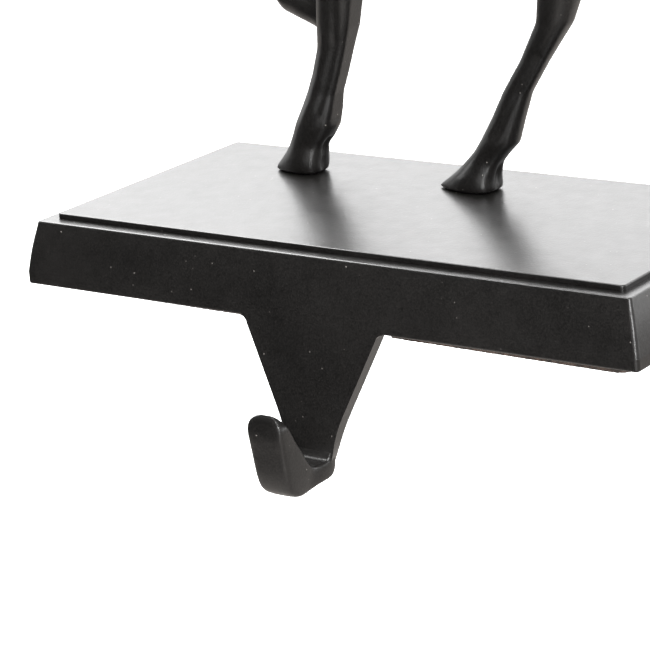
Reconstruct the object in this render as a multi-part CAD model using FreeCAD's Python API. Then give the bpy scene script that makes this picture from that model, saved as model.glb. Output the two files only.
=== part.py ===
import FreeCAD, Part
import math
import os
from FreeCAD import Vector

os.makedirs("parts", exist_ok=True)

# Mantel stocking holder. X runs along the front, Y to the back, Z up, in millimetres.
# The origin is the middle of the pad's underside, which rests on the mantel.

# Underside pad, a thin foam sheet with a notch round the arm's root
pad_thickness = 1.0
pad_inset = 2.8
pad_corner = 3.0
pad_arm_gap = 0.6

# Base plate
plate_length = 152.4
plate_depth = 76.2
ledge_height = 13.8
side_straight = 2.6
side_lean = 1.55
side_crown = 0.22
ledge_round = 0.9
foot_round = 0.8
corner_round = 0.9

# Raised top panel
panel_rise = 1.2
ledge_width = 3.1
panel_round = 0.35
panel_corner = 1.0

# Arm: a flat V that hangs from the plate's lower front edge and leans forward
arm_root_width = 33.4
arm_waist_width = 13.7
arm_waist_drop = 21.0
arm_neck_width = 11.4
arm_draft = 0.9
arm_thickness = 3.2
arm_lean = 7.8
arm_root_fillet = 1.3

# Hook: reach is measured forward from the plate's front, drop down from its underside
floor_drop = 27.2
floor_thickness = 4.3
heel_round = 2.6
tip_reach = 18.3
tip_drop = 13.75
tip_width = 8.8
toe_width = 8.6
toe_aside = 0.4

# Fixing screws, driven up through the plate into the standing hooves
screw_diameter = 3.0
screw_grip = 5.0
screw_head_diameter = 6.0
screw_head_height = 2.2
screw_play = 0.1
recess_width = 1.0
recess_span = 3.2
recess_depth = 1.2
counterbore_depth = 5.0
counterbore_play = 0.5

# Reindeer: places along X, distances across from its middle plane, heights above the plate
figure_setback = 17.1
leg_track = 10.0
near_fore_x = -39.5
near_hind_x = 5.8
far_hind_x = 57.5
shoulder_x = -20.0
hip_x = 35.0
hoof_centre = 1.5
fetlock_height = 11.2
knee_height = 34.0
elbow_height = 60.0
hock_height = 45.5
stifle_height = 73.0
raised_fetlock_height = 39.3
raised_knee_height = 62.5
belly_height = 58.0
tuck_height = 67.0
withers_height = 106.0
body_width = 29.0
chest_x = -43.5
rump_x = 58.0
poll_x = -50.0
poll_height = 142.0
head_length = 35.0
head_droop = 36.0
ear_length = 14.0
tail_length = 12.0
antler_height = 66.0
antler_spread = 50.0
beam_thickness = 5.0

across = Vector(0, 1, 0)
forward = Vector(-1, 0, 0)
upward = Vector(0, 0, 1)
ring_poles = 8
leg_shape = 0.75
hoof_shape = 0.62
hoof_toe = 1.8
leg_blunt = 0.76

base_z = pad_thickness
plate_top = base_z + ledge_height + panel_rise
panel_inset = side_lean + ledge_round + ledge_width
near_y = -leg_track / 2
far_y = leg_track / 2
figure_y = plate_depth / 2 - figure_setback


def closed_face(edges):
    return Part.Face(Part.Wire(Part.__sortEdges__(edges)))


def mirrored(edges):
    return [edge.mirror(Vector(), Vector(1, 0, 0)) for edge in edges]


def level_edges(shape, height):
    """Edges that lie flat at one height."""
    return [
        edge for edge in shape.Edges
        if abs(edge.BoundBox.ZMin - height) < 0.01 and abs(edge.BoundBox.ZMax - height) < 0.01
    ]


def rising_edges(shape):
    return [edge for edge in shape.Edges if abs(edge.Vertexes[0].Point.z - edge.Vertexes[-1].Point.z) > 0.1]


def plate_section(half_width):
    """Face across the plate, in the X-Z plane: a straight foot, then a side that leans in with a crown."""
    top = base_z + ledge_height
    foot = Vector(half_width, 0, base_z)
    lean_start = Vector(half_width, 0, base_z + side_straight)
    lean_end = Vector(half_width - side_lean - ledge_round, 0, top)
    side = lean_end - lean_start
    crown = Vector(side.z, 0, -side.x).normalize() * side_crown
    right = [
        Part.makeLine(foot, lean_start),
        Part.Arc(lean_start, (lean_start + lean_end) * 0.5 + crown, lean_end).toShape(),
    ]
    spans = [
        Part.makeLine(foot, Vector(-foot.x, 0, foot.z)),
        Part.makeLine(lean_end, Vector(-lean_end.x, 0, lean_end.z)),
    ]
    return closed_face(right + mirrored(right) + spans)


def plate():
    lengthwise = plate_section(plate_length / 2).extrude(Vector(0, plate_depth, 0))
    lengthwise.translate(Vector(0, -plate_depth / 2, 0))
    crosswise = plate_section(plate_depth / 2)
    crosswise.rotate(Vector(), Vector(0, 0, 1), 90)
    crosswise = crosswise.extrude(Vector(plate_length, 0, 0))
    crosswise.translate(Vector(-plate_length / 2, 0, 0))
    body = lengthwise.common(crosswise)
    body = body.makeFillet(corner_round, rising_edges(body))
    body = body.makeFillet(ledge_round, level_edges(body, base_z + ledge_height))
    return body.makeFillet(foot_round, level_edges(body, base_z))


def rounded_slab(length, depth, height, bottom, corner):
    slab = Part.makeBox(length, depth, height, Vector(-length / 2, -depth / 2, bottom))
    return slab.makeFillet(corner, rising_edges(slab))


def panel():
    """Raised top panel, sunk a little into the plate so that the two are one casting."""
    sunk = ledge_height / 2
    slab = rounded_slab(
        plate_length - 2 * panel_inset, plate_depth - 2 * panel_inset,
        panel_rise + sunk, plate_top - panel_rise - sunk, panel_corner,
    )
    return slab.makeFillet(panel_round, level_edges(slab, plate_top))


def at(reach, drop, x=0.0):
    """Point in front of the plate's front face and below its underside."""
    return Vector(x, -plate_depth / 2 - reach, base_z - drop)


def arm_face_reach(drop):
    """Reach of the arm's front face, which leaves the plate's front above the foot's rounding."""
    return (drop + foot_round) * math.tan(math.radians(arm_lean))


def arm_outline(behind, draft):
    """The V on a plane that leans with the arm, with a small fillet each side under the plate."""
    def place(drop, x):
        return at(arm_face_reach(drop) - behind, drop, x)

    root = arm_root_width / 2
    start = place(arm_root_fillet, root - 0.4 * arm_root_fillet)
    waist = place(arm_waist_drop, arm_waist_width / 2)
    neck = place(floor_drop, arm_neck_width / 2 - draft)
    low = place(floor_drop + floor_thickness - 0.2, toe_width / 2 - draft)
    corner = place(-foot_round, root + 0.8 * arm_root_fillet)
    fillet_out = place(0, root + 0.8 * arm_root_fillet)
    fillet_mid = place(0.27 * arm_root_fillet, root + 0.08 * arm_root_fillet)
    above = start * 0.15 + waist * 0.85
    below = waist * 0.55 + neck * 0.45
    bend = Part.BezierCurve()
    bend.setPoles([above, waist, below])
    right = [
        Part.makeLine(corner, fillet_out),
        Part.Arc(fillet_out, fillet_mid, start).toShape(),
        Part.makeLine(start, above),
        bend.toShape(),
        Part.makeLine(below, neck),
        Part.makeLine(neck, low),
    ]
    spans = [
        Part.makeLine(corner, Vector(-corner.x, corner.y, corner.z)),
        Part.makeLine(low, Vector(-low.x, low.y, low.z)),
    ]
    return Part.Wire(Part.__sortEdges__(right + mirrored(right) + spans))


def arm():
    """Flat V that leans forward down to the hook's heel, a little narrower at its back."""
    back = arm_thickness / math.cos(math.radians(arm_lean))
    solid = Part.makeLoft([arm_outline(0, 0), arm_outline(back, arm_draft)], True, True)
    heel = min(
        (edge for edge in solid.Edges if edge.BoundBox.XLength > toe_width / 2),
        key=lambda edge: edge.BoundBox.ZMax - edge.BoundBox.YMax,
    )
    return solid.makeFillet(heel_round, [heel])


def hook_ring(inner, outer, half):
    """Poles of one outline across the hook: flat inside and at the sides, crowned outside."""
    centre = (inner + outer) * 0.5
    depth = (outer - inner) * 0.5
    right = [
        (0.5, 1.01), (0.86, 0.97), (0.99, 0.78), (1.01, 0.1),
        (1.01, -0.7), (0.98, -1.03), (0.8, -1.01), (0.3, -1.0),
    ]
    left = [(-aside, share) for aside, share in reversed(right)]
    shares = [(0.0, 1.02)] + right + left
    return [centre + depth * share + Vector(half * aside, 0, 0) for aside, share in shares]


def smooth_solid(rows):
    """Solid with one smooth skin that passes through rows of poles, and a flat cap at each end."""
    columns = []
    for n in range(len(rows[0])):
        along = Part.BSplineCurve()
        along.interpolate(Points=[row[n] for row in rows], Parameters=list(range(len(rows))))
        columns.append(along.getPoles())
    round_count = len(columns)
    skin = Part.BSplineSurface()
    skin.buildFromPolesMultsKnots(
        columns, [1] * (round_count + 1), along.getMultiplicities(),
        range(round_count + 1), along.getKnots(), True, False, 3, 3,
    )
    face = skin.toShape()
    rims = [edge for edge in face.Edges if len(edge.Vertexes) == 1]
    shell = Part.makeShell([face] + [Part.Face(Part.Wire([rim])) for rim in rims])
    shell.sewShape()
    return Part.Solid(shell)


def hook():
    """Open hook from inside the arm's heel, along the floor and up to the rounded tip."""
    bottom = floor_drop + floor_thickness
    neck = arm_neck_width / 2
    toe = toe_width / 2
    tip = tip_width / 2
    sections = [
        ((3.1, floor_drop - 2.6), (1.6, bottom - 2.6), neck - 0.4, 0.0),
        ((3.9, floor_drop - 1.1), (2.4, bottom - 1.1), neck - 0.2, 0.0),
        ((4.8, floor_drop - 0.2), (3.8, bottom - 0.3), neck - 0.3, 0.1),
        ((6.4, floor_drop + 0.1), (6.4, bottom), (neck + toe) / 2, 0.2),
        ((8.2, floor_drop), (9.8, bottom + 0.5), toe + 0.1, 0.3),
        ((9.6, floor_drop - 0.9), (13.2, bottom + 0.7), toe, toe_aside),
        ((10.9, floor_drop - 2.7), (15.9, bottom - 0.7), toe, toe_aside),
        ((12.2, floor_drop - 5.1), (tip_reach - 1.0, bottom - 4.0), toe, 0.3),
        ((13.4, tip_drop + 6.4), (tip_reach - 0.4, tip_drop + 8.4), (toe + tip) / 2, 0.1),
        ((14.6, tip_drop + 4.1), (tip_reach, tip_drop + 4.8), tip, 0.0),
        ((15.7, tip_drop + 2.3), (tip_reach, tip_drop + 2.4), tip - 0.2, 0.0),
        ((16.4, tip_drop + 1.0), (tip_reach - 0.3, tip_drop + 0.9), tip - 1.1, 0.0),
        ((16.8, tip_drop + 0.3), (tip_reach - 0.7, tip_drop + 0.25), tip - 2.2, 0.1),
        ((17.1, tip_drop), (tip_reach - 0.9, tip_drop), tip - 3.2, 0.2),
    ]
    return smooth_solid([
        hook_ring(at(*inner, aside), at(*outer, aside), half) for inner, outer, half, aside in sections
    ])


def screw_places():
    """The middle of each hoof that stands on the plate."""
    return {
        "near_fore_screw": Vector(near_fore_x + hoof_centre, figure_y + near_y, 0),
        "near_hind_screw": Vector(near_hind_x + hoof_centre, figure_y + near_y, 0),
        "far_hind_screw": Vector(far_hind_x + hoof_centre, figure_y + far_y, 0),
    }


def upright(place, radius, low, high):
    return Part.makeCylinder(radius, high - low, Vector(place.x, place.y, low))


def screw_bores(place):
    """Counterbore and clearance hole in the plate."""
    seat = base_z + counterbore_depth
    bore = upright(place, screw_diameter / 2 + screw_play, seat - 1, plate_top + 1)
    return bore.fuse(upright(place, screw_head_diameter / 2 + counterbore_play, base_z - 1, seat))


def base_casting():
    casting = plate().multiFuse([panel(), arm(), hook()]).removeSplitter()
    for place in screw_places().values():
        casting = casting.cut(screw_bores(place))
    return casting


def fixing_screw(place):
    """Pan head screw with a cross recess, head down in its counterbore."""
    seat = base_z + counterbore_depth
    bottom = seat - screw_head_height
    head = upright(place, screw_head_diameter / 2, bottom, seat)
    head = head.makeFillet(screw_head_height * 0.4, level_edges(head, bottom)[:1])
    tip = plate_top + screw_grip
    shank = upright(place, screw_diameter / 2, seat, tip)
    shank = shank.makeChamfer(screw_diameter * 0.2, level_edges(shank, tip)[:1])
    screw = head.fuse(shank).removeSplitter()
    for length, depth in ((recess_span, recess_width), (recess_width, recess_span)):
        corner = Vector(place.x - length / 2, place.y - depth / 2, bottom)
        screw = screw.cut(Part.makeBox(length, depth, recess_depth, corner))
    return screw


def base_pad():
    pad = rounded_slab(
        plate_length - 2 * pad_inset, plate_depth - 2 * pad_inset, pad_thickness, 0, pad_corner
    )
    arm_back = arm_thickness / math.cos(math.radians(arm_lean))
    notch_half = arm_root_width / 2 + arm_root_fillet + pad_arm_gap
    notch_back = at(-arm_back - pad_arm_gap, 0).y
    front = -plate_depth / 2
    notch = Part.makeBox(2 * notch_half, notch_back - front, pad_thickness, Vector(-notch_half, front, 0))
    return pad.cut(notch)


def ring(centre, lead, out, front, back, half, blunt=1.0):
    """Closed egg-shaped outline: its reach ahead of and behind its middle, and half its width.

    blunt is below 1 where its back is flat.
    """
    turn = 2 * math.pi / ring_poles
    swell = 3 / (2 + math.cos(turn))
    poles = []
    for step in range(ring_poles):
        along = math.cos(step * turn)
        if 2 * step == ring_poles:
            along *= blunt
        reach = front if along > 0 else back
        poles.append(centre + (lead * (reach * along) + out * (half * math.sin(step * turn))) * swell)
    curve = Part.BSplineCurve()
    curve.buildFromPolesMultsKnots(poles, [1] * (ring_poles + 1), range(ring_poles + 1), True, 3)
    return Part.Wire(curve.toShape())


def limb(stations, lead=forward, out=across, blunt=1.0):
    """Body through parallel outlines, each (x, across, height, front, back, half width)."""
    rings = [
        ring(Vector(x, figure_y + y, plate_top + z), lead, out, front, back, half, blunt)
        for x, y, z, front, back, half in stations
    ]
    return Part.makeLoft(rings, True, True)


def leg(hoof_x, lean, joint, foot, shank, upper, y, spread):
    """Leg in level outlines. Foot and shank go by shares: of the fetlock's place, then up to the joint."""
    joint_x, joint_z = joint
    fetlock_x = hoof_x + lean
    outlines = [(hoof_x + lean * along, fetlock_height * rise, length) for along, rise, length in foot]
    outlines += [
        (
            fetlock_x + (joint_x - fetlock_x) * along,
            fetlock_height + (joint_z - fetlock_height) * rise, length,
        )
        for along, rise, length in shank
    ]
    count = len(outlines)
    outlines += upper
    stations = []
    for n, (x, z, length) in enumerate(outlines):
        outward = max(0, n - count + 1) / len(upper)
        shape = leg_shape * (1 - 0.25 * outward)
        side = y + math.copysign(spread * outward, y)
        toe = hoof_toe * max(0, 1 - n / 2)
        half = length * (hoof_shape if n == 0 else shape)
        stations.append((x + toe, side, z, length + toe, length - toe, half))
    return limb(stations, blunt=leg_blunt)


def fore_leg():
    """Near foreleg, which stands."""
    return leg(
        near_fore_x, 5.5, (near_fore_x + 13.0, knee_height),
        [(0, 0, 6.2), (0.22, 0.28, 5.7), (0.49, 0.59, 4.85), (0.75, 0.77, 5.25), (1, 1, 5.6)],
        [(0.19, 0.16, 5.1), (0.36, 0.33, 4.45), (0.6, 0.53, 4.4), (0.85, 0.78, 4.5), (1, 1, 5.25)],
        [
            (near_fore_x + 14.2, knee_height * 0.75 + elbow_height * 0.25, 5.8),
            (shoulder_x - 2.5, elbow_height - 5, 8.6), (shoulder_x, elbow_height + 6, 12.0),
            (shoulder_x, elbow_height + 19, 12.5), (shoulder_x + 1.5, elbow_height + 34, 6.5),
        ],
        near_y, 2.0,
    )


def raised_leg():
    """Far foreleg, raised and bent: forearm, then the part below the knee, then pastern and hoof."""
    knee_x = near_fore_x - 11
    fetlock_x = near_fore_x - 7
    y = far_y
    high = raised_knee_height
    low = raised_fetlock_height
    forearm = [
        (knee_x - 5.0, y, high - 0.5, 2.5), (knee_x - 3.4, y, high, 4.8), (knee_x + 3.0, y, high + 1.3, 5.5),
        (knee_x + 14.0, y + 0.5, high + 6.3, 7.4), (shoulder_x - 8.0, y + 1.5, elbow_height + 12, 10.5),
        (shoulder_x, y + 2.0, elbow_height + 18, 12.5), (shoulder_x + 10.0, y + 1.5, elbow_height + 21, 7.0),
    ]
    cannon = [
        (fetlock_x + 0.3, y, low - 2.0, 3.4), (fetlock_x, y, low, 4.6), (fetlock_x - 1.0, y, low + 4.6, 4.3),
        (fetlock_x - 2.4, y, low * 0.4 + high * 0.6, 4.2), (knee_x + 0.3, y, high - 2.0, 4.8),
        (knee_x + 0.6, y, high + 2.6, 4.0),
    ]
    foot = [
        (fetlock_x - 3.4, y, low - 0.4, 2.6), (fetlock_x - 1.2, y, low - 1.0, 4.2),
        (fetlock_x + 3.2, y, low - 2.5, 4.4), (fetlock_x + 6.6, y, low - 4.2, 4.0),
        (fetlock_x + 9.2, y, low - 5.4, 4.2), (fetlock_x + 14.6, y, low - 7.0, 4.9),
    ]
    return [
        limb([(x, side, z, size, size, size * leg_shape) for x, side, z, size in part], lead=lead)
        for part, lead in ((forearm, upward), (cannon, forward), (foot, upward))
    ]


def hind_leg(hoof_x, lean, hock, y):
    return leg(
        hoof_x, lean, hock,
        [(0, 0, 7.1), (0.18, 0.28, 5.8), (0.5, 0.59, 4.4), (0.74, 0.77, 4.3), (1.03, 1, 4.7)],
        [(0.16, 0.16, 3.95), (0.31, 0.33, 3.45), (0.57, 0.53, 3.4), (0.88, 0.78, 4.3), (1, 1, 5.4)],
        [
            (hock[0] * 0.8 + hip_x * 0.2 - 0.5, hock[1] * 0.7 + stifle_height * 0.3, 6.2),
            (hock[0] * 0.4 + hip_x * 0.6 - 3.5, hock[1] * 0.3 + stifle_height * 0.7, 10.0),
            (hip_x - 5, stifle_height + 4, 13.0), (hip_x - 1, stifle_height + 15, 12.0),
            (hip_x, stifle_height + 23, 6.0),
        ],
        y, 1.5,
    )


def trunk():
    """Chest to rump: each outline is a place, an underside and a back."""
    back = withers_height
    shape = body_width / (back - belly_height)
    sections = [
        (chest_x, back - 26, back - 16),
        (chest_x + 2.5, back - 33, back - 9),
        (chest_x + 8.0, back - 41, back - 3),
        (shoulder_x - 5, belly_height + 1, back),
        (shoulder_x + 9, belly_height, back - 1),
        ((shoulder_x + hip_x) / 2, (belly_height * 2 + tuck_height) / 3, back - 3),
        (hip_x - 11, tuck_height - 2, back - 4),
        (hip_x + 4, tuck_height, back - 3),
        (rump_x - 8, tuck_height + 6, back - 5),
        (rump_x - 2, tuck_height + 13, back - 9),
        (rump_x + 0.5, tuck_height + 20, back - 15),
    ]
    return limb([
        (x, 0, (low + high) / 2, (high - low) / 2, (high - low) / 2, (high - low) / 2 * shape)
        for x, low, high in sections
    ], lead=upward)


def neck():
    """From inside the shoulders up to the poll, in level outlines."""
    low = withers_height - 30
    high = poll_height + 2
    sections = [
        (0.0, 0.0, 22.0), (0.28, 1.0, 20.0), (0.5, 1.5, 16.0),
        (0.72, 1.0, 12.0), (0.9, 0.5, 9.5), (1.0, 0.0, 6.0),
    ]
    return limb([
        (
            shoulder_x - 2 + (poll_x - shoulder_x) * share - bow, 0, low + (high - low) * share,
            length, length, length * 0.58,
        )
        for share, bow, length in sections
    ])


def head():
    """From behind the poll to the nose, square to the head's own slant."""
    slant = math.radians(head_droop)
    lead = Vector(-math.sin(slant), 0, math.cos(slant))
    forward_reach = head_length * math.cos(slant)
    fall = head_length * math.sin(slant)
    sections = [
        (-0.14, 3.0), (-0.06, 6.0), (0.12, 7.8), (0.4, 6.9),
        (0.66, 5.1), (0.86, 4.7), (0.97, 3.8), (1.02, 2.2),
    ]
    return limb([
        (poll_x - forward_reach * share, 0, poll_height - fall * share, girth, girth, girth * 0.82)
        for share, girth in sections
    ], lead=lead)


def tail():
    slant = math.radians(40)
    lead = Vector(math.sin(slant), 0, math.cos(slant))
    fall = tail_length * 0.7
    sections = [(0.0, 4.0), (0.35, 4.4), (0.75, 3.4), (1.0, 1.3)]
    return limb([
        (rump_x - 5 + tail_length * share, 0, withers_height - 11 - fall * share, size, size, size)
        for share, size in sections
    ], lead=lead)


def ear(hand):
    sections = [(0.0, 2.0), (0.3, 3.2), (0.65, 3.0), (1.0, 0.8)]
    stations = []
    for share, size in sections:
        side = hand * (3 + ear_length * share)
        stations.append((poll_x + 2 + 5 * share, side, poll_height + 2 + 6 * share, size, size, size * 0.5))
    return limb(stations, lead=Vector(0.6, 0, 0.8), out=Vector(-0.8, 0, 0.6))


def tine(points, thickness, hand):
    """Antler branch through (x, across, height) points, the last two as shares of spread and height."""
    places = [
        Vector(
            poll_x + x, figure_y + hand * antler_spread / 2 * spread,
            plate_top + poll_height + antler_height * height,
        )
        for x, spread, height in points
    ]
    last = len(places) - 1
    rings = []
    for n, place in enumerate(places):
        way = (places[min(n + 1, last)] - places[max(n - 1, 0)]).normalize()
        lead = way.cross(across).normalize()
        radius = thickness / 2 * (1 - 0.65 * (n / last) ** 2)
        rings.append(ring(place, lead, lead.cross(way), radius, radius, radius))
    return Part.makeLoft(rings, True, True)


def antler(hand):
    thin = beam_thickness * 0.76
    return [
        tine([
            (-1, 0.12, 0.0), (2, 0.22, 0.13), (10, 0.5, 0.3),
            (18, 0.8, 0.5), (18.5, 0.98, 0.74), (6, 0.9, 0.98),
        ], beam_thickness, hand),
        tine([(1.4, 0.2, 0.1), (-9, 0.3, 0.18), (-17, 0.34, 0.36)], thin, hand),
        tine([(9, 0.46, 0.28), (-1, 0.7, 0.38), (-4, 0.78, 0.575)], thin, hand),
        tine([(17.6, 0.78, 0.48), (27, 0.9, 0.55), (30.5, 0.96, 0.7)], thin, hand),
        tine([(18.5, 0.96, 0.72), (23.5, 1.1, 0.88), (21, 1.1, 1.06)], thin, hand),
    ]


def reindeer():
    forms = [trunk(), neck(), head(), tail(), ear(-1), ear(1), fore_leg()] + raised_leg()
    forms.append(hind_leg(near_hind_x, 7.7, (near_hind_x + 25.0, hock_height), near_y))
    forms.append(hind_leg(far_hind_x, 3.8, (far_hind_x - 7.0, hock_height + 4), far_y))
    forms += antler(-1) + antler(1)
    figure = forms[0].multiFuse(forms[1:])
    for place in screw_places().values():
        tip = plate_top + screw_grip + 1
        figure = figure.cut(upright(place, screw_diameter / 2 + screw_play, plate_top - 1, tip))
    return figure


nodes = {"base_casting": base_casting(), "base_pad": base_pad(), "reindeer": reindeer()}
for name, place in screw_places().items():
    nodes[name] = fixing_screw(place)
for name, shape in nodes.items():
    shape.exportStep("parts/" + name + ".step")
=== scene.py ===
import math

import bpy
import numpy as np
from mathutils import Matrix, Vector, noise


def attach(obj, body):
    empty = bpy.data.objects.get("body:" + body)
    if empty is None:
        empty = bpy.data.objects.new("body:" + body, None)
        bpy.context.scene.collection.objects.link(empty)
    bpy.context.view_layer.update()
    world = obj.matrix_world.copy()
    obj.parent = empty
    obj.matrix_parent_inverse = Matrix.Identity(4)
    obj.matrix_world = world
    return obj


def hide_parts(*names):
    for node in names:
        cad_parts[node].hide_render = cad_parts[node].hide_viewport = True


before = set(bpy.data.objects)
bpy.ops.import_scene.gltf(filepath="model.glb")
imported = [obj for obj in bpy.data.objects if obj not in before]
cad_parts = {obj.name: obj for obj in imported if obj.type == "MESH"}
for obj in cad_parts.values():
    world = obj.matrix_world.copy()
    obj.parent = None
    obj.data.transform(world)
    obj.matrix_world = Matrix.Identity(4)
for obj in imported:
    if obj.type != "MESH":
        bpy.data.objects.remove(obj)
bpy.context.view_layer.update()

MM = 0.001
scene = bpy.context.scene

# Camera, solved from the base's edges in the photograph
camera_place = Vector((0.32629, -0.46807, 0.17395))
camera_azimuth = math.radians(36.87)
camera_elevation = math.radians(17.79)
camera_roll = math.radians(4.5)
camera_lens = 154.5
camera_sensor = 36
camera_near = 0.01
camera_far = 50

# Studio lights, in metres and watts: place, the point that each faces, width, height and power
lights = {
    "back_light": ((-0.6, 1.45, 1.0), (0, 0, 0.05), 2.8, 1.3, 43),
    "top_left_light": ((-0.95, 0.5, 1.3), (0, 0, 0), 0.9, 1.1, 38),
    "overhead_light": ((0.45, -0.54, 1.15), (0, 0, 0), 0.3, 0.3, 15),
    "right_light": ((1.3, 1.1, 0.45), (0, 0, 0.02), 1.0, 1.1, 11),
    "left_fill": ((-1.3, -0.3, 0.8), (0, 0, 0.05), 0.5, 0.9, 4),
    "front_high": ((0.66, -0.95, 0.34), (0, 0, 0.04), 0.22, 0.32, 11),
    "front_low": ((0.21, -0.78, -0.2), (0, 0, 0.06), 0.85, 0.42, 1.7),
}

# Dark cards, in metres: place, the point that each faces, width and height
dark_cards = (
    ((-0.61, -0.813, 0.1), (-0.21, -0.28, 0.85), 1.7, 1.3),
    ((-0.55, -0.66, 0.78), (0, 0, 0), 1.3, 0.9),
)
card_grey = 0.02

# Floor and room: the floor's greys as seen and as mirrored, and how brightly the pale room lights
floor_size = 6.0
floor_level = -0.32
floor_grey = 0.9
floor_mirrored = (0.35, 0.325, 0.305)
floor_glow = 0.62
room_strength = 1.0
room_diffuse_strength = 0.32

# Colours
paint_dark = (0.0038, 0.0035, 0.0033)
paint_light = (0.0118, 0.0109, 0.0103)
dust_colour = (0.26, 0.24, 0.22)
zinc_dark = (0.52, 0.52, 0.50)
zinc_light = (0.66, 0.66, 0.63)
foam_dark = (0.018, 0.014, 0.012)
foam_light = (0.085, 0.055, 0.042)

# Reindeer, in millimetres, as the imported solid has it
plate_top = 16.0
figure_y = 21.0
poll_x = -50.0
poll_height = 142.0
head_droop = 36.0
near_side = -5.0
far_side = 5.0
near_fore_hoof = -39.5
near_hind_hoof = 5.8
far_hind_hoof = 57.5
fore_hoof_half = 6.2
hind_hoof_half = 7.1
figure_low = np.array([-80.1, -8.1, 16.0])
figure_high = np.array([66.5, 50.1, 228.0])

# How the figure's skin is made and evened out before the carving
skin_voxel = 0.63
skin_rounds = 14
muscle_rounds = 70
head_rounds = 3
push_back = 1.04
leg_growth = 0.12
sole_sink = 0.35

# Base plate, in millimetres
plate_half_length = 76.2
plate_half_depth = 38.1
plate_corner = 0.9
foot_round = 0.8
foot_crisp = 0.6
lean_start = 3.6
ledge_top = 14.8
ledge_inset = 2.45
ledge_round = 0.9
ledge_crisp = 0.6
edge_reach = 0.01

# Pad, in millimetres, cut by hand and laid a little askew
pad_half_length = 73.4
pad_half_depth = 35.3
pad_corner = 3.0
pad_thickness = 1.0
pad_turn = -0.8
pad_forward = 0.7
pad_point_gap = 0.35
notch_half = 18.7
notch_back = -33.6


def add_camera():
    data = bpy.data.cameras.new("camera")
    data.sensor_width = camera_sensor
    data.lens = camera_lens
    data.clip_start = camera_near
    data.clip_end = camera_far
    camera = bpy.data.objects.new("camera", data)
    scene.collection.objects.link(camera)
    turn, rise = camera_azimuth, camera_elevation
    back = Vector((math.sin(turn) * math.cos(rise), -math.cos(turn) * math.cos(rise), math.sin(rise)))
    level = Vector((math.cos(turn), math.sin(turn), 0))
    up = back.cross(level)
    right = level * math.cos(camera_roll) - up * math.sin(camera_roll)
    up = up * math.cos(camera_roll) + level * math.sin(camera_roll)
    pose = Matrix((right, up, back)).transposed().to_4x4()
    camera.matrix_world = Matrix.Translation(camera_place) @ pose
    scene.camera = camera


class Nodes:
    """Short hand for building a material's node tree."""

    def __init__(self, name):
        self.material = bpy.data.materials.new(name)
        self.material.use_nodes = True
        self.tree = self.material.node_tree
        self.shader = self.tree.nodes["Principled BSDF"]

    def feed(self, slot, value):
        """Gives a slot another node's output or a constant."""
        if isinstance(value, bpy.types.NodeSocket):
            self.tree.links.new(value, slot)
        else:
            slot.default_value = value

    def add(self, kind, **values):
        node = self.tree.nodes.new(kind)
        for key, value in values.items():
            if key in node.inputs:
                self.feed(node.inputs[key], value)
            else:
                setattr(node, key, value)
        return node

    def give(self, name, value):
        """Gives one of the shader's own slots an output or a constant."""
        self.feed(self.shader.inputs[name], value)

    def object_place(self):
        return self.add("ShaderNodeTexCoord").outputs["Object"]

    def noise(self, place, scale, detail, roughness=0.5):
        settings = {"Vector": place, "Scale": scale, "Detail": detail, "Roughness": roughness}
        return self.add("ShaderNodeTexNoise", **settings).outputs["Fac"]

    def cells(self, place, scale):
        """Distance to the nearest of many scattered points."""
        return self.add("ShaderNodeTexVoronoi", Vector=place, Scale=scale).outputs["Distance"]

    def ramp(self, value, *stops):
        node = self.add("ShaderNodeValToRGB", Fac=value)
        points = node.color_ramp.elements
        for point, (place, colour) in zip(points, stops):
            point.position = place
            point.color = (colour, colour, colour, 1) if isinstance(colour, float) else (*colour, 1)
        return node.outputs["Color"]

    def span(self, value, low, high):
        """Spreads a value from nought to one over a range."""
        node = self.add("ShaderNodeMapRange", **{"Value": value, "To Min": low, "To Max": high})
        return node.outputs["Result"]

    def mix(self, factor, first, second):
        """Blends two colours."""
        node = self.add("ShaderNodeMix", data_type="RGBA", Factor=factor)
        self.feed(node.inputs[6], first)
        self.feed(node.inputs[7], second)
        return node.outputs[2]

    def math(self, operation, first, second):
        node = self.add("ShaderNodeMath", operation=operation)
        self.feed(node.inputs[0], first)
        self.feed(node.inputs[1], second)
        return node.outputs[0]

    def bump(self, height, strength, distance):
        node = self.add("ShaderNodeBump", Height=height, Strength=strength, Distance=distance)
        self.give("Normal", node.outputs["Normal"])


def satin_black():
    """Satin black paint on cast metal: fine grain, soft unevenness and sparse dust."""
    nodes = Nodes("satin_black_paint")
    place = nodes.object_place()
    cloudy = nodes.math("MULTIPLY", nodes.noise(place, scale=60, detail=3), 0.35)
    grainy = nodes.math("MULTIPLY", nodes.noise(place, scale=3000, detail=2), 0.65)
    tone = nodes.math("ADD", cloudy, grainy)
    colour = nodes.ramp(tone, (0.38, paint_dark), (0.64, paint_light))
    speck = nodes.ramp(nodes.cells(place, scale=420), (0.035, 1.0), (0.085, 0.0))
    dusty_area = nodes.ramp(nodes.noise(place, scale=190, detail=1), (0.46, 0.0), (0.7, 1.0))
    dust = nodes.math("MULTIPLY", speck, dusty_area)
    nodes.give("Base Color", nodes.mix(dust, colour, (*dust_colour, 1)))
    uneven = nodes.noise(place, scale=240, detail=4, roughness=0.6)
    nodes.give("Roughness", nodes.span(uneven, 0.25, 0.36))
    nodes.give("Specular IOR Level", 0.5)
    grain = nodes.math("MULTIPLY", nodes.noise(place, scale=1500, detail=3, roughness=0.6), 0.65)
    orange_peel = nodes.math("MULTIPLY", nodes.noise(place, scale=330, detail=2), 0.5)
    height = nodes.math("ADD", grain, orange_peel)
    height = nodes.math("ADD", height, nodes.math("MULTIPLY", dust, 1.4))
    nodes.bump(height, strength=0.42, distance=0.00012)
    return nodes.material


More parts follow.
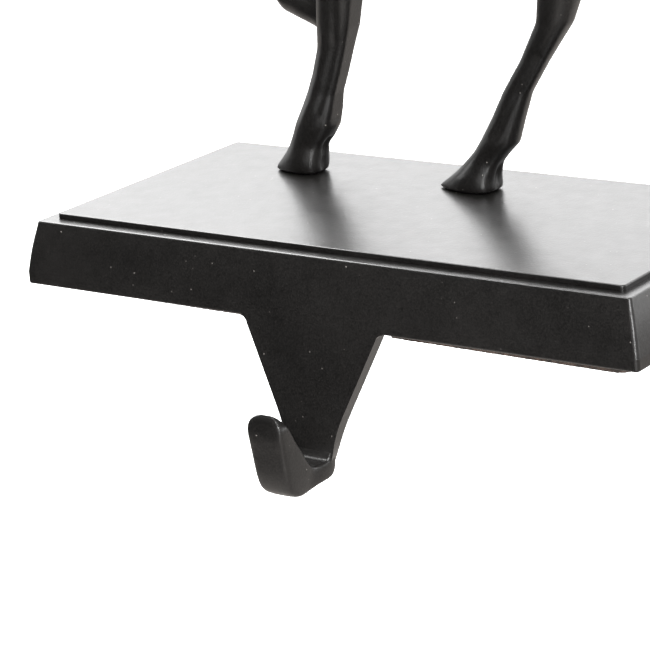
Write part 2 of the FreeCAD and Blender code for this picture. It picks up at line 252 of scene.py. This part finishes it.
def zinc():
    nodes = Nodes("zinc_plated_steel")
    place = nodes.object_place()
    nodes.give("Metallic", 1.0)
    spangle = nodes.noise(place, scale=900, detail=3)
    nodes.give("Base Color", nodes.ramp(spangle, (0.3, zinc_dark), (0.7, zinc_light)))
    nodes.give("Roughness", nodes.span(nodes.noise(place, scale=1200, detail=3), 0.25, 0.42))
    return nodes.material


def foam():
    """Closed-cell foam: matt, pitted, nearly black with a brown cast."""
    nodes = Nodes("black_foam")
    place = nodes.object_place()
    patches = nodes.noise(place, scale=700, detail=3)
    nodes.give("Base Color", nodes.ramp(patches, (0.35, foam_dark), (0.75, foam_light)))
    nodes.give("Roughness", 0.92)
    nodes.bump(nodes.cells(place, scale=1800), strength=0.6, distance=0.0002)
    return nodes.material


def dress(obj, material):
    obj.data.materials.clear()
    obj.data.materials.append(material)


def mesh_object(name, mesh):
    obj = bpy.data.objects.new(name, mesh)
    scene.collection.objects.link(obj)
    return obj


def apply_modifiers(obj):
    graph = bpy.context.evaluated_depsgraph_get()
    mesh = bpy.data.meshes.new_from_object(obj.evaluated_get(graph))
    old = obj.data
    obj.modifiers.clear()
    obj.data = mesh
    bpy.data.meshes.remove(old)


class Skin:
    """Points of a mesh in millimetres, moved by listed marks. Heights are above the plate."""

    def __init__(self, mesh):
        self.mesh = mesh
        count = len(mesh.vertices)
        values = np.empty(count * 3)
        mesh.vertices.foreach_get("co", values)
        self.points = values.reshape(-1, 3) / MM
        edges = np.empty(len(mesh.edges) * 2, int)
        mesh.edges.foreach_get("vertices", edges)
        edges = edges.reshape(-1, 2)
        start = np.concatenate([edges[:, 0], edges[:, 1]])
        end = np.concatenate([edges[:, 1], edges[:, 0]])
        order = np.argsort(start, kind="stable")
        self.ends = end[order]
        self.degree = np.bincount(start, minlength=count)
        self.starts = np.concatenate([[0], np.cumsum(self.degree)[:-1]])

    def height(self):
        return self.points[:, 2] - plate_top

    def across(self):
        return self.points[:, 1] - figure_y

    def store(self):
        self.mesh.vertices.foreach_set("co", (self.points * MM).ravel())
        self.mesh.update()

    def normals(self):
        self.store()
        values = np.empty(len(self.points) * 3)
        self.mesh.vertices.foreach_get("normal", values)
        return values.reshape(-1, 3)

    def relax(self, rounds, weight):
        """Evens the skin without thinning it: each pull to the neighbours' mean is pushed back."""
        for _ in range(rounds):
            for pull in (0.5, -0.5 * push_back):
                mean = np.add.reduceat(self.points[self.ends], self.starts) / self.degree[:, None]
                self.points += (mean - self.points) * (pull * weight)[:, None]

    def place(self, x, side, high):
        return np.array([x, figure_y + side, plate_top + high])

    def swell(self, normals, centre, radius, lift):
        """Raises or sinks the skin round a point."""
        away = np.linalg.norm(self.points - self.place(*centre), axis=1)
        self.points += normals * (lift * np.exp(-((away / radius) ** 2)))[:, None]

    def crease(self, normals, path, width, depth):
        """Cuts a soft groove, or with a negative depth lays a ridge, along a line of points."""
        nearest = np.full(len(self.points), 1e9)
        places = [self.place(*point) for point in path]
        for low, high in zip(places, places[1:]):
            way = high - low
            share = np.clip((self.points - low) @ way / (way @ way), 0, 1)
            gap = np.linalg.norm(self.points - low - share[:, None] * way, axis=1)
            nearest = np.minimum(nearest, gap)
        self.points -= normals * (depth * np.exp(-((nearest / width) ** 2)))[:, None]


def soft_step(value, low, high):
    share = np.clip((value - low) / (high - low), 0, 1)
    return share * share * (3 - 2 * share)


def head_point(along, side, lift):
    """Point along the head from the poll to the nose, to one side, and square above its middle."""
    slant = math.radians(head_droop)
    x = poll_x - along * math.cos(slant) - lift * math.sin(slant)
    return x, side, poll_height - along * math.sin(slant) + lift * math.cos(slant)


def shape_head(skin):
    """Works the eyes, cheeks, muzzle, nostrils, mouth, jaw and the hollows of the ears into the head."""
    normals = skin.normals()
    for hand in (-1, 1):
        eye = head_point(10.0, hand * 5.6, 2.2)
        skin.swell(normals, eye, radius=3.1, lift=-0.75)
        skin.swell(normals, eye, radius=1.5, lift=1.5)
        brow = head_point(8.2, hand * 4.4, 5.2)
        skin.swell(normals, brow, radius=2.6, lift=0.8)
        cheek = head_point(7.0, hand * 5.4, -3.4)
        skin.swell(normals, cheek, radius=4.2, lift=0.8)
        muzzle_side = head_point(19.0, hand * 5.0, 0.4)
        skin.swell(normals, muzzle_side, radius=4.4, lift=-0.7)
        lip = head_point(30.0, hand * 3.6, 0.6)
        skin.swell(normals, lip, radius=2.6, lift=0.5)
        nostril = head_point(32.6, hand * 3.0, 1.2)
        skin.swell(normals, nostril, radius=1.05, lift=-1.3)
        mouth = [
            head_point(35.5, 0, -1.3),
            head_point(33.0, hand * 3.0, -1.9),
            head_point(26.0, hand * 4.4, -2.2),
        ]
        skin.crease(normals, mouth, width=0.5, depth=0.6)
        jaw = [
            head_point(24.0, hand * 3.4, -3.6),
            head_point(14.0, hand * 4.6, -4.8),
            head_point(5.0, hand * 5.4, -7.0),
        ]
        skin.crease(normals, jaw, width=1.3, depth=-0.5)
        ear = [
            (poll_x + 1.6, hand * 9.0, poll_height + 6.6),
            (poll_x + 4.0, hand * 14.0, poll_height + 8.0),
        ]
        facing = np.clip(normals @ np.array([-0.8, 0, 0.6]) - 0.1, 0, 1)
        skin.crease(normals * facing[:, None], ear, width=1.7, depth=1.7)
    nose = head_point(33.8, 0, 2.6)
    skin.swell(normals, nose, radius=2.6, lift=0.5)
    chin = head_point(29.0, 0, -4.4)
    skin.swell(normals, chin, radius=2.4, lift=0.5)
    bridge = [head_point(14, 0, 7.2), head_point(26, 0, 5.4)]
    skin.crease(normals, bridge, width=2.2, depth=-0.35)


def shape_body(skin):
    """Works the muscles, the hollows between them, the ribs and the spine into the trunk."""
    # Middle of each muscle, its radius and how far it stands up
    muscles = (
        ((-19, 11, 84), 10, 1.5), ((-13, 9, 97), 7, 0.8), ((-15, 10, 66), 5, 0.8), ((-33, 8, 88), 8, 0.9),
        ((37, 11, 88), 12, 1.6), ((27, 10, 72), 6, 0.8), ((31, 9, 100), 4.5, 0.7), ((52, 8, 92), 6, 0.6),
    )
    # Line of each hollow, its width and its depth
    hollows = (
        ([(-7, 12, 101), (-5, 14, 86), (-8, 13, 71)], 2.6, 1.1),
        ([(-30, 10, 99), (-27, 11, 84), (-29, 10, 72)], 2.2, 0.8),
        ([(21, 12, 99), (18, 13, 84), (22, 11, 70)], 2.8, 1.1),
        ([(44, 11, 98), (47, 10, 84), (44, 9, 72)], 2.0, 0.6),
    )
    rib_count = 4
    rib_spacing = 5
    normals = skin.normals()
    for hand in (-1, 1):
        for (x, side, high), radius, lift in muscles:
            skin.swell(normals, (x, hand * side, high), radius, lift)
        for path, width, depth in hollows:
            skin.crease(normals, [(x, hand * side, high) for x, side, high in path], width, depth)
        for rib in range(rib_count):
            path = [(-1 + rib_spacing * rib, hand * 14, 96), (-3 + rib_spacing * rib, hand * 14, 78)]
            skin.crease(normals, path, width=1.1, depth=0.25)
    spine = [(-12, 0, 107), (10, 0, 105), (35, 0, 103)]
    skin.crease(normals, spine, width=1.6, depth=-0.5)


def comb(skin, share, across_way, wave, lift):
    """Locks of hair: ridges that wander along the coat and fade where share is nought."""
    normals = skin.normals()
    x, side, high = skin.points[:, 0], skin.across(), skin.height()
    drift = 1.4 * np.sin(high * 0.16 + x * 0.05) + 0.9 * np.sin(high * 0.37 + side * 0.21)
    ridge = np.abs(np.sin((across_way + drift) * wave))
    lock = 0.65 + 0.35 * np.sin(high * 0.62 + 2.3 * np.sin(across_way * wave * 0.5))
    skin.points += normals * ((ridge * lock - 0.45) * lift * share)[:, None]


def shape_hair(skin):
    """Hair on the throat, the mane and the tail."""
    normals = skin.normals()
    x, side, high = skin.points[:, 0], skin.across(), skin.height()
    throat = soft_step(-normals[:, 0], -0.1, 0.45) * soft_step(-x, 24, 34)
    below_jaw = soft_step(high, 66, 76) * (1 - soft_step(high, 118, 130))
    throat *= below_jaw * (1 - soft_step(np.abs(side), 15, 18))
    comb(skin, throat, side, wave=1.25, lift=1.0)
    mane = soft_step(normals[:, 0] * 0.7 + normals[:, 2] * 0.7, 0.3, 0.8) * soft_step(high, 104, 112)
    mane *= (1 - soft_step(high, 132, 140)) * (1 - soft_step(x, -16, -8))
    comb(skin, mane, side, wave=1.4, lift=0.5)
    tail = soft_step(x, 55, 60) * soft_step(high, 78, 86) * (1 - soft_step(high, 97, 101))
    comb(skin, tail, side, wave=1.5, lift=0.6)


def shape_antlers(skin):
    """A knobbed burr round the foot of each antler."""
    burr_height = 8.6
    knobs = 14
    normals = skin.normals()
    side, high = np.abs(skin.across()), skin.height() - poll_height
    near = np.exp(-((high - burr_height) ** 2))
    near = near * soft_step(side, 0.8, 1.6) * (1 - soft_step(side, 8.5, 9.5))
    near *= 1 - soft_step(skin.points[:, 0], poll_x + 6, poll_x + 8)
    turns = np.arctan2(skin.across(), skin.points[:, 0] - poll_x)
    skin.points += normals * (near * (0.55 + 0.25 * np.sin(turns * knobs)))[:, None]


def flatten_back(skin, side, path, share):
    """Cuts a flat face down the back of one leg. Path: height, middle, half length."""
    heights, middles, lengths = (np.array(row) for row in zip(*path))
    high = skin.height()
    inside = (np.abs(skin.across() - side) < 6) & (high > heights[0]) & (high < heights[-1])
    limit = np.interp(high, heights, middles) + np.interp(high, heights, lengths) * share
    near = np.abs(skin.points[:, 0] - limit) < 3.5
    fade = soft_step(high, heights[0], heights[0] + 1.5)
    fade = fade * (1 - soft_step(high, heights[-1] - 6, heights[-1]))
    beyond = np.maximum(skin.points[:, 0] - limit, 0) * (inside & near) * fade
    skin.points[:, 0] -= beyond


def shape_hoof(skin, hoof_x, side, length, back, toe_point):
    """Splits the hoof into two toes, marks its heel, points its toe and sets in its sole's edge."""
    normals = skin.normals()
    toe, heel = hoof_x - length, hoof_x + length
    cleft = [(toe - 0.5, side, 0.4), (toe + 1.5, side, 3.0), (toe + 3.6, side, 7.0)]
    skin.crease(normals, cleft, width=0.7, depth=0.9)
    heel_line = [(heel, side, 0.4), (heel - 0.4, side, 4.0), (back, side, 8.0)]
    skin.crease(normals, heel_line, width=0.8, depth=0.7)
    high = skin.height()
    middle = np.array([hoof_x, figure_y + side])
    flat = skin.points[:, :2] - middle
    reach = np.hypot(flat[:, 0], flat[:, 1]) + 1e-6
    near = (reach < length + 3).astype(float)
    low = near * (1 - soft_step(high, 0.6, 4.2))
    forward = np.clip(-flat[:, 0] / length, 0, 1) ** 2 * np.exp(-(flat[:, 1] / 3.4) ** 2)
    skin.points[:, 0] -= toe_point * low * forward
    flare = low * np.clip(reach / length - 0.35, 0, 1)
    waist = near * np.exp(-((high - 5.2) / 1.9) ** 2) * np.clip(-flat[:, 0] / length, 0, 1)
    rim = near * (1 - soft_step(high, 0.25, 0.55))
    outward = 0.45 * flare - 0.45 * waist - sole_sink * rim
    skin.points[:, :2] += flat / reach[:, None] * outward[:, None]


def shape_legs(skin):
    """Flat backs, tendons and a bony ridge on the near legs, then the three hooves that stand."""
    normals = skin.normals()
    legs = soft_step(skin.height(), 0.5, 1.5) * (1 - soft_step(skin.height(), 50, 58))
    skin.points += normals * (leg_growth * legs)[:, None]
    # Height, middle and half length of each leg's outlines
    fore = [
        (11.5, -33.9, 5.6), (14.9, -32.6, 5.1), (18.7, -31.3, 4.45), (23.3, -29.5, 4.4), (29.0, -27.6, 4.5),
        (34.0, -26.5, 5.25), (40.5, -25.3, 5.8), (55.0, -22.5, 8.6), (60.0, -20.0, 10.5),
    ]
    hind = [
        (11.2, 13.7, 4.7), (16.7, 16.4, 3.95), (22.5, 19.0, 3.45), (29.4, 23.4, 3.4),
        (38.0, 28.7, 4.3), (45.5, 30.8, 5.4), (52.0, 31.0, 6.2),
    ]
    flatten_back(skin, near_side, fore, share=0.76)
    flatten_back(skin, near_side, hind, share=0.86)
    normals = skin.normals()
    fore_tendon = [
        (-31.5, near_side - 3.6, 15), (-28.6, near_side - 3.4, 22),
        (-25.7, near_side - 3.6, 30), (-24.0, near_side - 4.4, 44),
    ]
    skin.crease(normals, fore_tendon, width=0.9, depth=0.35)
    shin = [(-35.6, near_side - 4, 13), (-31.0, near_side - 3.6, 22), (-28.2, near_side - 4, 32)]
    skin.crease(normals, shin, width=1.2, depth=-0.25)
    hind_tendon = [(14.0, near_side - 3.5, 13), (19.6, near_side - 3, 22), (25.5, near_side - 3, 31)]
    skin.crease(normals, hind_tendon, width=0.8, depth=0.3)
    thigh = [(31.0, near_side - 4, 50), (34.0, near_side - 5, 60)]
    skin.crease(normals, thigh, width=1.3, depth=0.5)
    shape_hoof(skin, near_fore_hoof, near_side, fore_hoof_half, back=-31.5, toe_point=0.8)
    shape_hoof(skin, near_hind_hoof, near_side, hind_hoof_half, back=12.5, toe_point=1.4)
    shape_hoof(skin, far_hind_hoof, far_side, hind_hoof_half, back=63.0, toe_point=1.4)


def reindeer_skin():
    """The cast figure: the solid's form, evened out, with the casting's modelling worked into it."""
    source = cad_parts["reindeer"].data.copy()
    body = mesh_object("reindeer_figure", source)
    remesh = body.modifiers.new("remesh", "REMESH")
    remesh.mode = "VOXEL"
    remesh.voxel_size = skin_voxel * MM
    apply_modifiers(body)
    skin = Skin(body.data)
    high = skin.height()
    standing = soft_step(high, 0.3, 2.4)
    branches = 1 - 0.45 * soft_step(high, 150, 158)
    skin.relax(skin_rounds, standing * branches)
    along = skin.points[:, 0]
    haunch = np.exp(-((along - 31) / 15) ** 2 - ((high - 80) / 14) ** 2)
    shoulder = np.exp(-((along + 18) / 9) ** 2 - ((high - 82) / 16) ** 2)
    skin.relax(muscle_rounds, np.minimum(1.5 * haunch + 0.5 * shoulder, 1))
    shape_body(skin)
    shape_head(skin)
    skin.relax(head_rounds, standing * branches)
    shape_hair(skin)
    shape_antlers(skin)
    shape_legs(skin)
    skin.points = np.clip(skin.points, figure_low, figure_high)
    skin.store()
    body.data.shade_smooth()
    return body


def corner_arc(x, y, start):
    """Quarter circle round one of the pad's corners, every 15 degrees from a start angle."""
    angles = [math.radians(start + 15 * step) for step in range(7)]
    return [(x + pad_corner * math.cos(angle), y + pad_corner * math.sin(angle)) for angle in angles]


def pad_outline():
    """Outline of the foam sheet seen from above, with its notch round the arm, in short steps."""
    turn = math.radians(pad_turn)
    corner_x = pad_half_length - pad_corner
    corner_y = pad_half_depth - pad_corner
    notch = [
        (-notch_half, -pad_half_depth), (-notch_half, notch_back),
        (notch_half, notch_back), (notch_half, -pad_half_depth),
    ]
    outline = corner_arc(corner_x, corner_y, 0) + corner_arc(-corner_x, corner_y, 90)
    outline += corner_arc(-corner_x, -corner_y, 180) + notch + corner_arc(corner_x, -corner_y, 270)
    fine = []
    for (ax, ay), (bx, by) in zip(outline, outline[1:] + outline[:1]):
        steps = max(1, round(math.hypot(bx - ax, by - ay) / pad_point_gap))
        fine += [(ax + (bx - ax) * step / steps, ay + (by - ay) * step / steps) for step in range(steps)]
    pivot = -pad_half_depth
    turned = []
    for x, y in fine:
        back = y - pivot
        turned_x = x * math.cos(turn) - back * math.sin(turn)
        turned_y = pivot + x * math.sin(turn) + back * math.cos(turn) - pad_forward
        turned.append((turned_x, turned_y))
    return turned


def foam_pad():
    """Foam sheet with a ragged cut edge, a little askew under the plate."""
    outline = pad_outline()
    count = len(outline)
    levels = [0.0, 0.25, 0.5, 0.75, 1.0]
    verts = []
    for level in levels:
        for x, y in outline:
            place = Vector((x * 0.9, y * 0.9, level * 2.3))
            out = Vector((x, y, 0)).normalized()
            wander = noise.noise(place) * 0.22 + noise.noise(place * 3.1) * 0.2
            ragged = wander - 0.12 - 0.35 * (level - 0.5) ** 2
            edge_x = x + out.x * ragged
            edge_y = y + out.y * ragged
            verts.append((edge_x * MM, edge_y * MM, level * pad_thickness * MM))
    faces = []
    for ring in range(len(levels) - 1):
        low, high = ring * count, (ring + 1) * count
        for step in range(count):
            onward = (step + 1) % count
            faces.append((low + step, low + onward, high + onward, high + step))
    faces.append(tuple(range(count))[::-1])
    faces.append(tuple(range((len(levels) - 1) * count, len(levels) * count)))
    mesh = bpy.data.meshes.new("foam_pad")
    mesh.from_pydata(verts, [], faces)
    mesh.update()
    return mesh_object("foam_pad", mesh)


def crisp_edge(points, level, side, way, span, keep):
    """Draws the rounding of one of the plate's level edges in towards the corner that it rounds.

    side is how far the plate's side stands inside its outline at that level. way is 1 where
    the rounding lies above the level, and -1 where it lies below it. keep is the share of the
    rounding that stays.
    """
    inner = np.array([plate_half_length, plate_half_depth]) - plate_corner
    out = np.abs(points[:, :2]) - inner
    beyond = np.maximum(out, 0)
    reach = np.maximum(np.hypot(beyond[:, 0], beyond[:, 1]), 1e-9)
    at_corner = out.min(axis=1) > 0
    inward = plate_corner - side - np.where(at_corner, reach, out.max(axis=1))
    rise = points[:, 2] - level
    edge = (rise * way > -0.01) & (rise * way < span) & (inward < span) & (inward > -0.25)
    facing = np.stack([out[:, 0] >= out[:, 1], out[:, 0] < out[:, 1]], axis=1).astype(float)
    facing[at_corner] = (beyond / reach[:, None])[at_corner]
    drawn = 1 - keep
    points[edge, 2] -= rise[edge] * drawn
    points[edge, :2] += (np.sign(points[:, :2]) * facing * inward[:, None] * drawn)[edge]


def soften_kink(normals, corner_vertex, points, level):
    """Gives the corners that meet where the plate's side starts to lean one shared normal each."""
    meeting = {}
    for index, vertex in enumerate(corner_vertex):
        if abs(points[vertex, 2] - level) < 0.02 and abs(normals[index][2]) < 0.4:
            key = tuple(np.round(points[vertex], 2))
            meeting.setdefault(key, []).append(index)
    for corners in meeting.values():
        mean = normals[corners].mean(axis=0)
        normals[corners] = mean / np.linalg.norm(mean)


def base_skin():
    """The base casting with crisper edges under and over the plate's sides than the solid has."""
    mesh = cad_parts["base_casting"].data.copy()
    base = mesh_object("base_casting_skin", mesh)
    normals = np.array([corner.vector for corner in mesh.corner_normals])
    corner_vertex = np.empty(len(mesh.loops), dtype=int)
    mesh.loops.foreach_get("vertex_index", corner_vertex)
    values = np.empty(len(mesh.vertices) * 3)
    mesh.vertices.foreach_get("co", values)
    points = values.reshape(-1, 3) / MM
    soften_kink(normals, corner_vertex, points, lean_start)
    crisp_edge(points, pad_thickness, 0.0, 1, foot_round + edge_reach, foot_crisp)
    crisp_edge(points, ledge_top, ledge_inset, -1, ledge_round + edge_reach, ledge_crisp)
    mesh.vertices.foreach_set("co", (points * MM).ravel())
    mesh.update()
    mesh.normals_split_custom_set(normals.tolist())
    return base


def area_light(name, place, target, width, height, power):
    data = bpy.data.lights.new(name, "AREA")
    data.shape = "RECTANGLE"
    data.size = width
    data.size_y = height
    data.energy = power
    light = bpy.data.objects.new(name, data)
    scene.collection.objects.link(light)
    light.location = place
    light.rotation_euler = (Vector(target) - Vector(place)).to_track_quat("-Z", "Y").to_euler()
    light.visible_camera = False


def flat_card(name, width, height):
    mesh = bpy.data.meshes.new(name)
    x, y = width / 2, height / 2
    mesh.from_pydata([(-x, -y, 0), (x, -y, 0), (x, y, 0), (-x, y, 0)], [], [(0, 1, 2, 3)])
    card = mesh_object(name, mesh)
    return card


def dull(name, grey):
    nodes = Nodes(name)
    nodes.give("Base Color", (grey, grey, grey, 1))
    nodes.give("Roughness", 1.0)
    nodes.give("Specular IOR Level", 0.0)
    return nodes


def dark_card(place, target, width, height):
    """Dull black card that keeps the pale room out of the faces that mirror it. No camera sees it."""
    card = flat_card("dark_card", width, height)
    card.location = place
    card.rotation_euler = (Vector(target) - Vector(place)).to_track_quat("Z", "Y").to_euler()
    card.data.materials.append(dull("dull_black", card_grey).material)
    card.visible_camera = False
    card.visible_shadow = False
    card.visible_diffuse = False


def pale_floor():
    """White sweep under the part, greyer where the paint mirrors it than where the camera sees it."""
    floor = flat_card("floor", floor_size, floor_size)
    floor.location.z = floor_level
    nodes = dull("pale_floor", floor_grey)
    rays = nodes.add("ShaderNodeLightPath")
    nodes.give("Emission Color", (1, 1, 1, 1))
    nodes.give("Emission Strength", nodes.math("MULTIPLY", rays.outputs["Is Camera Ray"], floor_glow))
    seen = (floor_grey, floor_grey, floor_grey, 1)
    nodes.give("Base Color", nodes.mix(rays.outputs["Is Glossy Ray"], seen, (*floor_mirrored, 1)))
    floor.data.materials.append(nodes.material)


def pale_room():
    """White room that is bright to the camera and in the paint, and lights matt faces less."""
    world = bpy.data.worlds.new("studio")
    scene.world = world
    world.use_nodes = True
    tree = world.node_tree
    background = tree.nodes["Background"]
    background.inputs["Color"].default_value = (1, 1, 1, 1)
    rays = tree.nodes.new("ShaderNodeLightPath")
    seen = rays.outputs["Is Camera Ray"]
    for kind in ("Is Transmission Ray", "Is Glossy Ray"):
        either = tree.nodes.new("ShaderNodeMath")
        either.operation = "MAXIMUM"
        tree.links.new(seen, either.inputs[0])
        tree.links.new(rays.outputs[kind], either.inputs[1])
        seen = either.outputs[0]
    strength = tree.nodes.new("ShaderNodeMapRange")
    strength.inputs["To Min"].default_value = room_diffuse_strength
    strength.inputs["To Max"].default_value = room_strength
    tree.links.new(seen, strength.inputs["Value"])
    tree.links.new(strength.outputs["Result"], background.inputs["Strength"])


def studio():
    pale_room()
    pale_floor()
    for name, (place, target, width, height, power) in lights.items():
        area_light(name, place, target, width, height, power)
    for place, target, width, height in dark_cards:
        dark_card(place, target, width, height)


scene.view_settings.view_transform = "Standard"
add_camera()
studio()

paint = satin_black()
steel = zinc()
for name in ("near_fore_screw", "near_hind_screw", "far_hind_screw"):
    dress(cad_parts[name], steel)

base = base_skin()
dress(base, paint)
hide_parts("base_casting")
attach(base, "root")

figure = reindeer_skin()
dress(figure, paint)
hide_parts("reindeer")
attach(figure, "root")

pad = foam_pad()
dress(pad, foam())
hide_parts("base_pad")
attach(pad, "root")
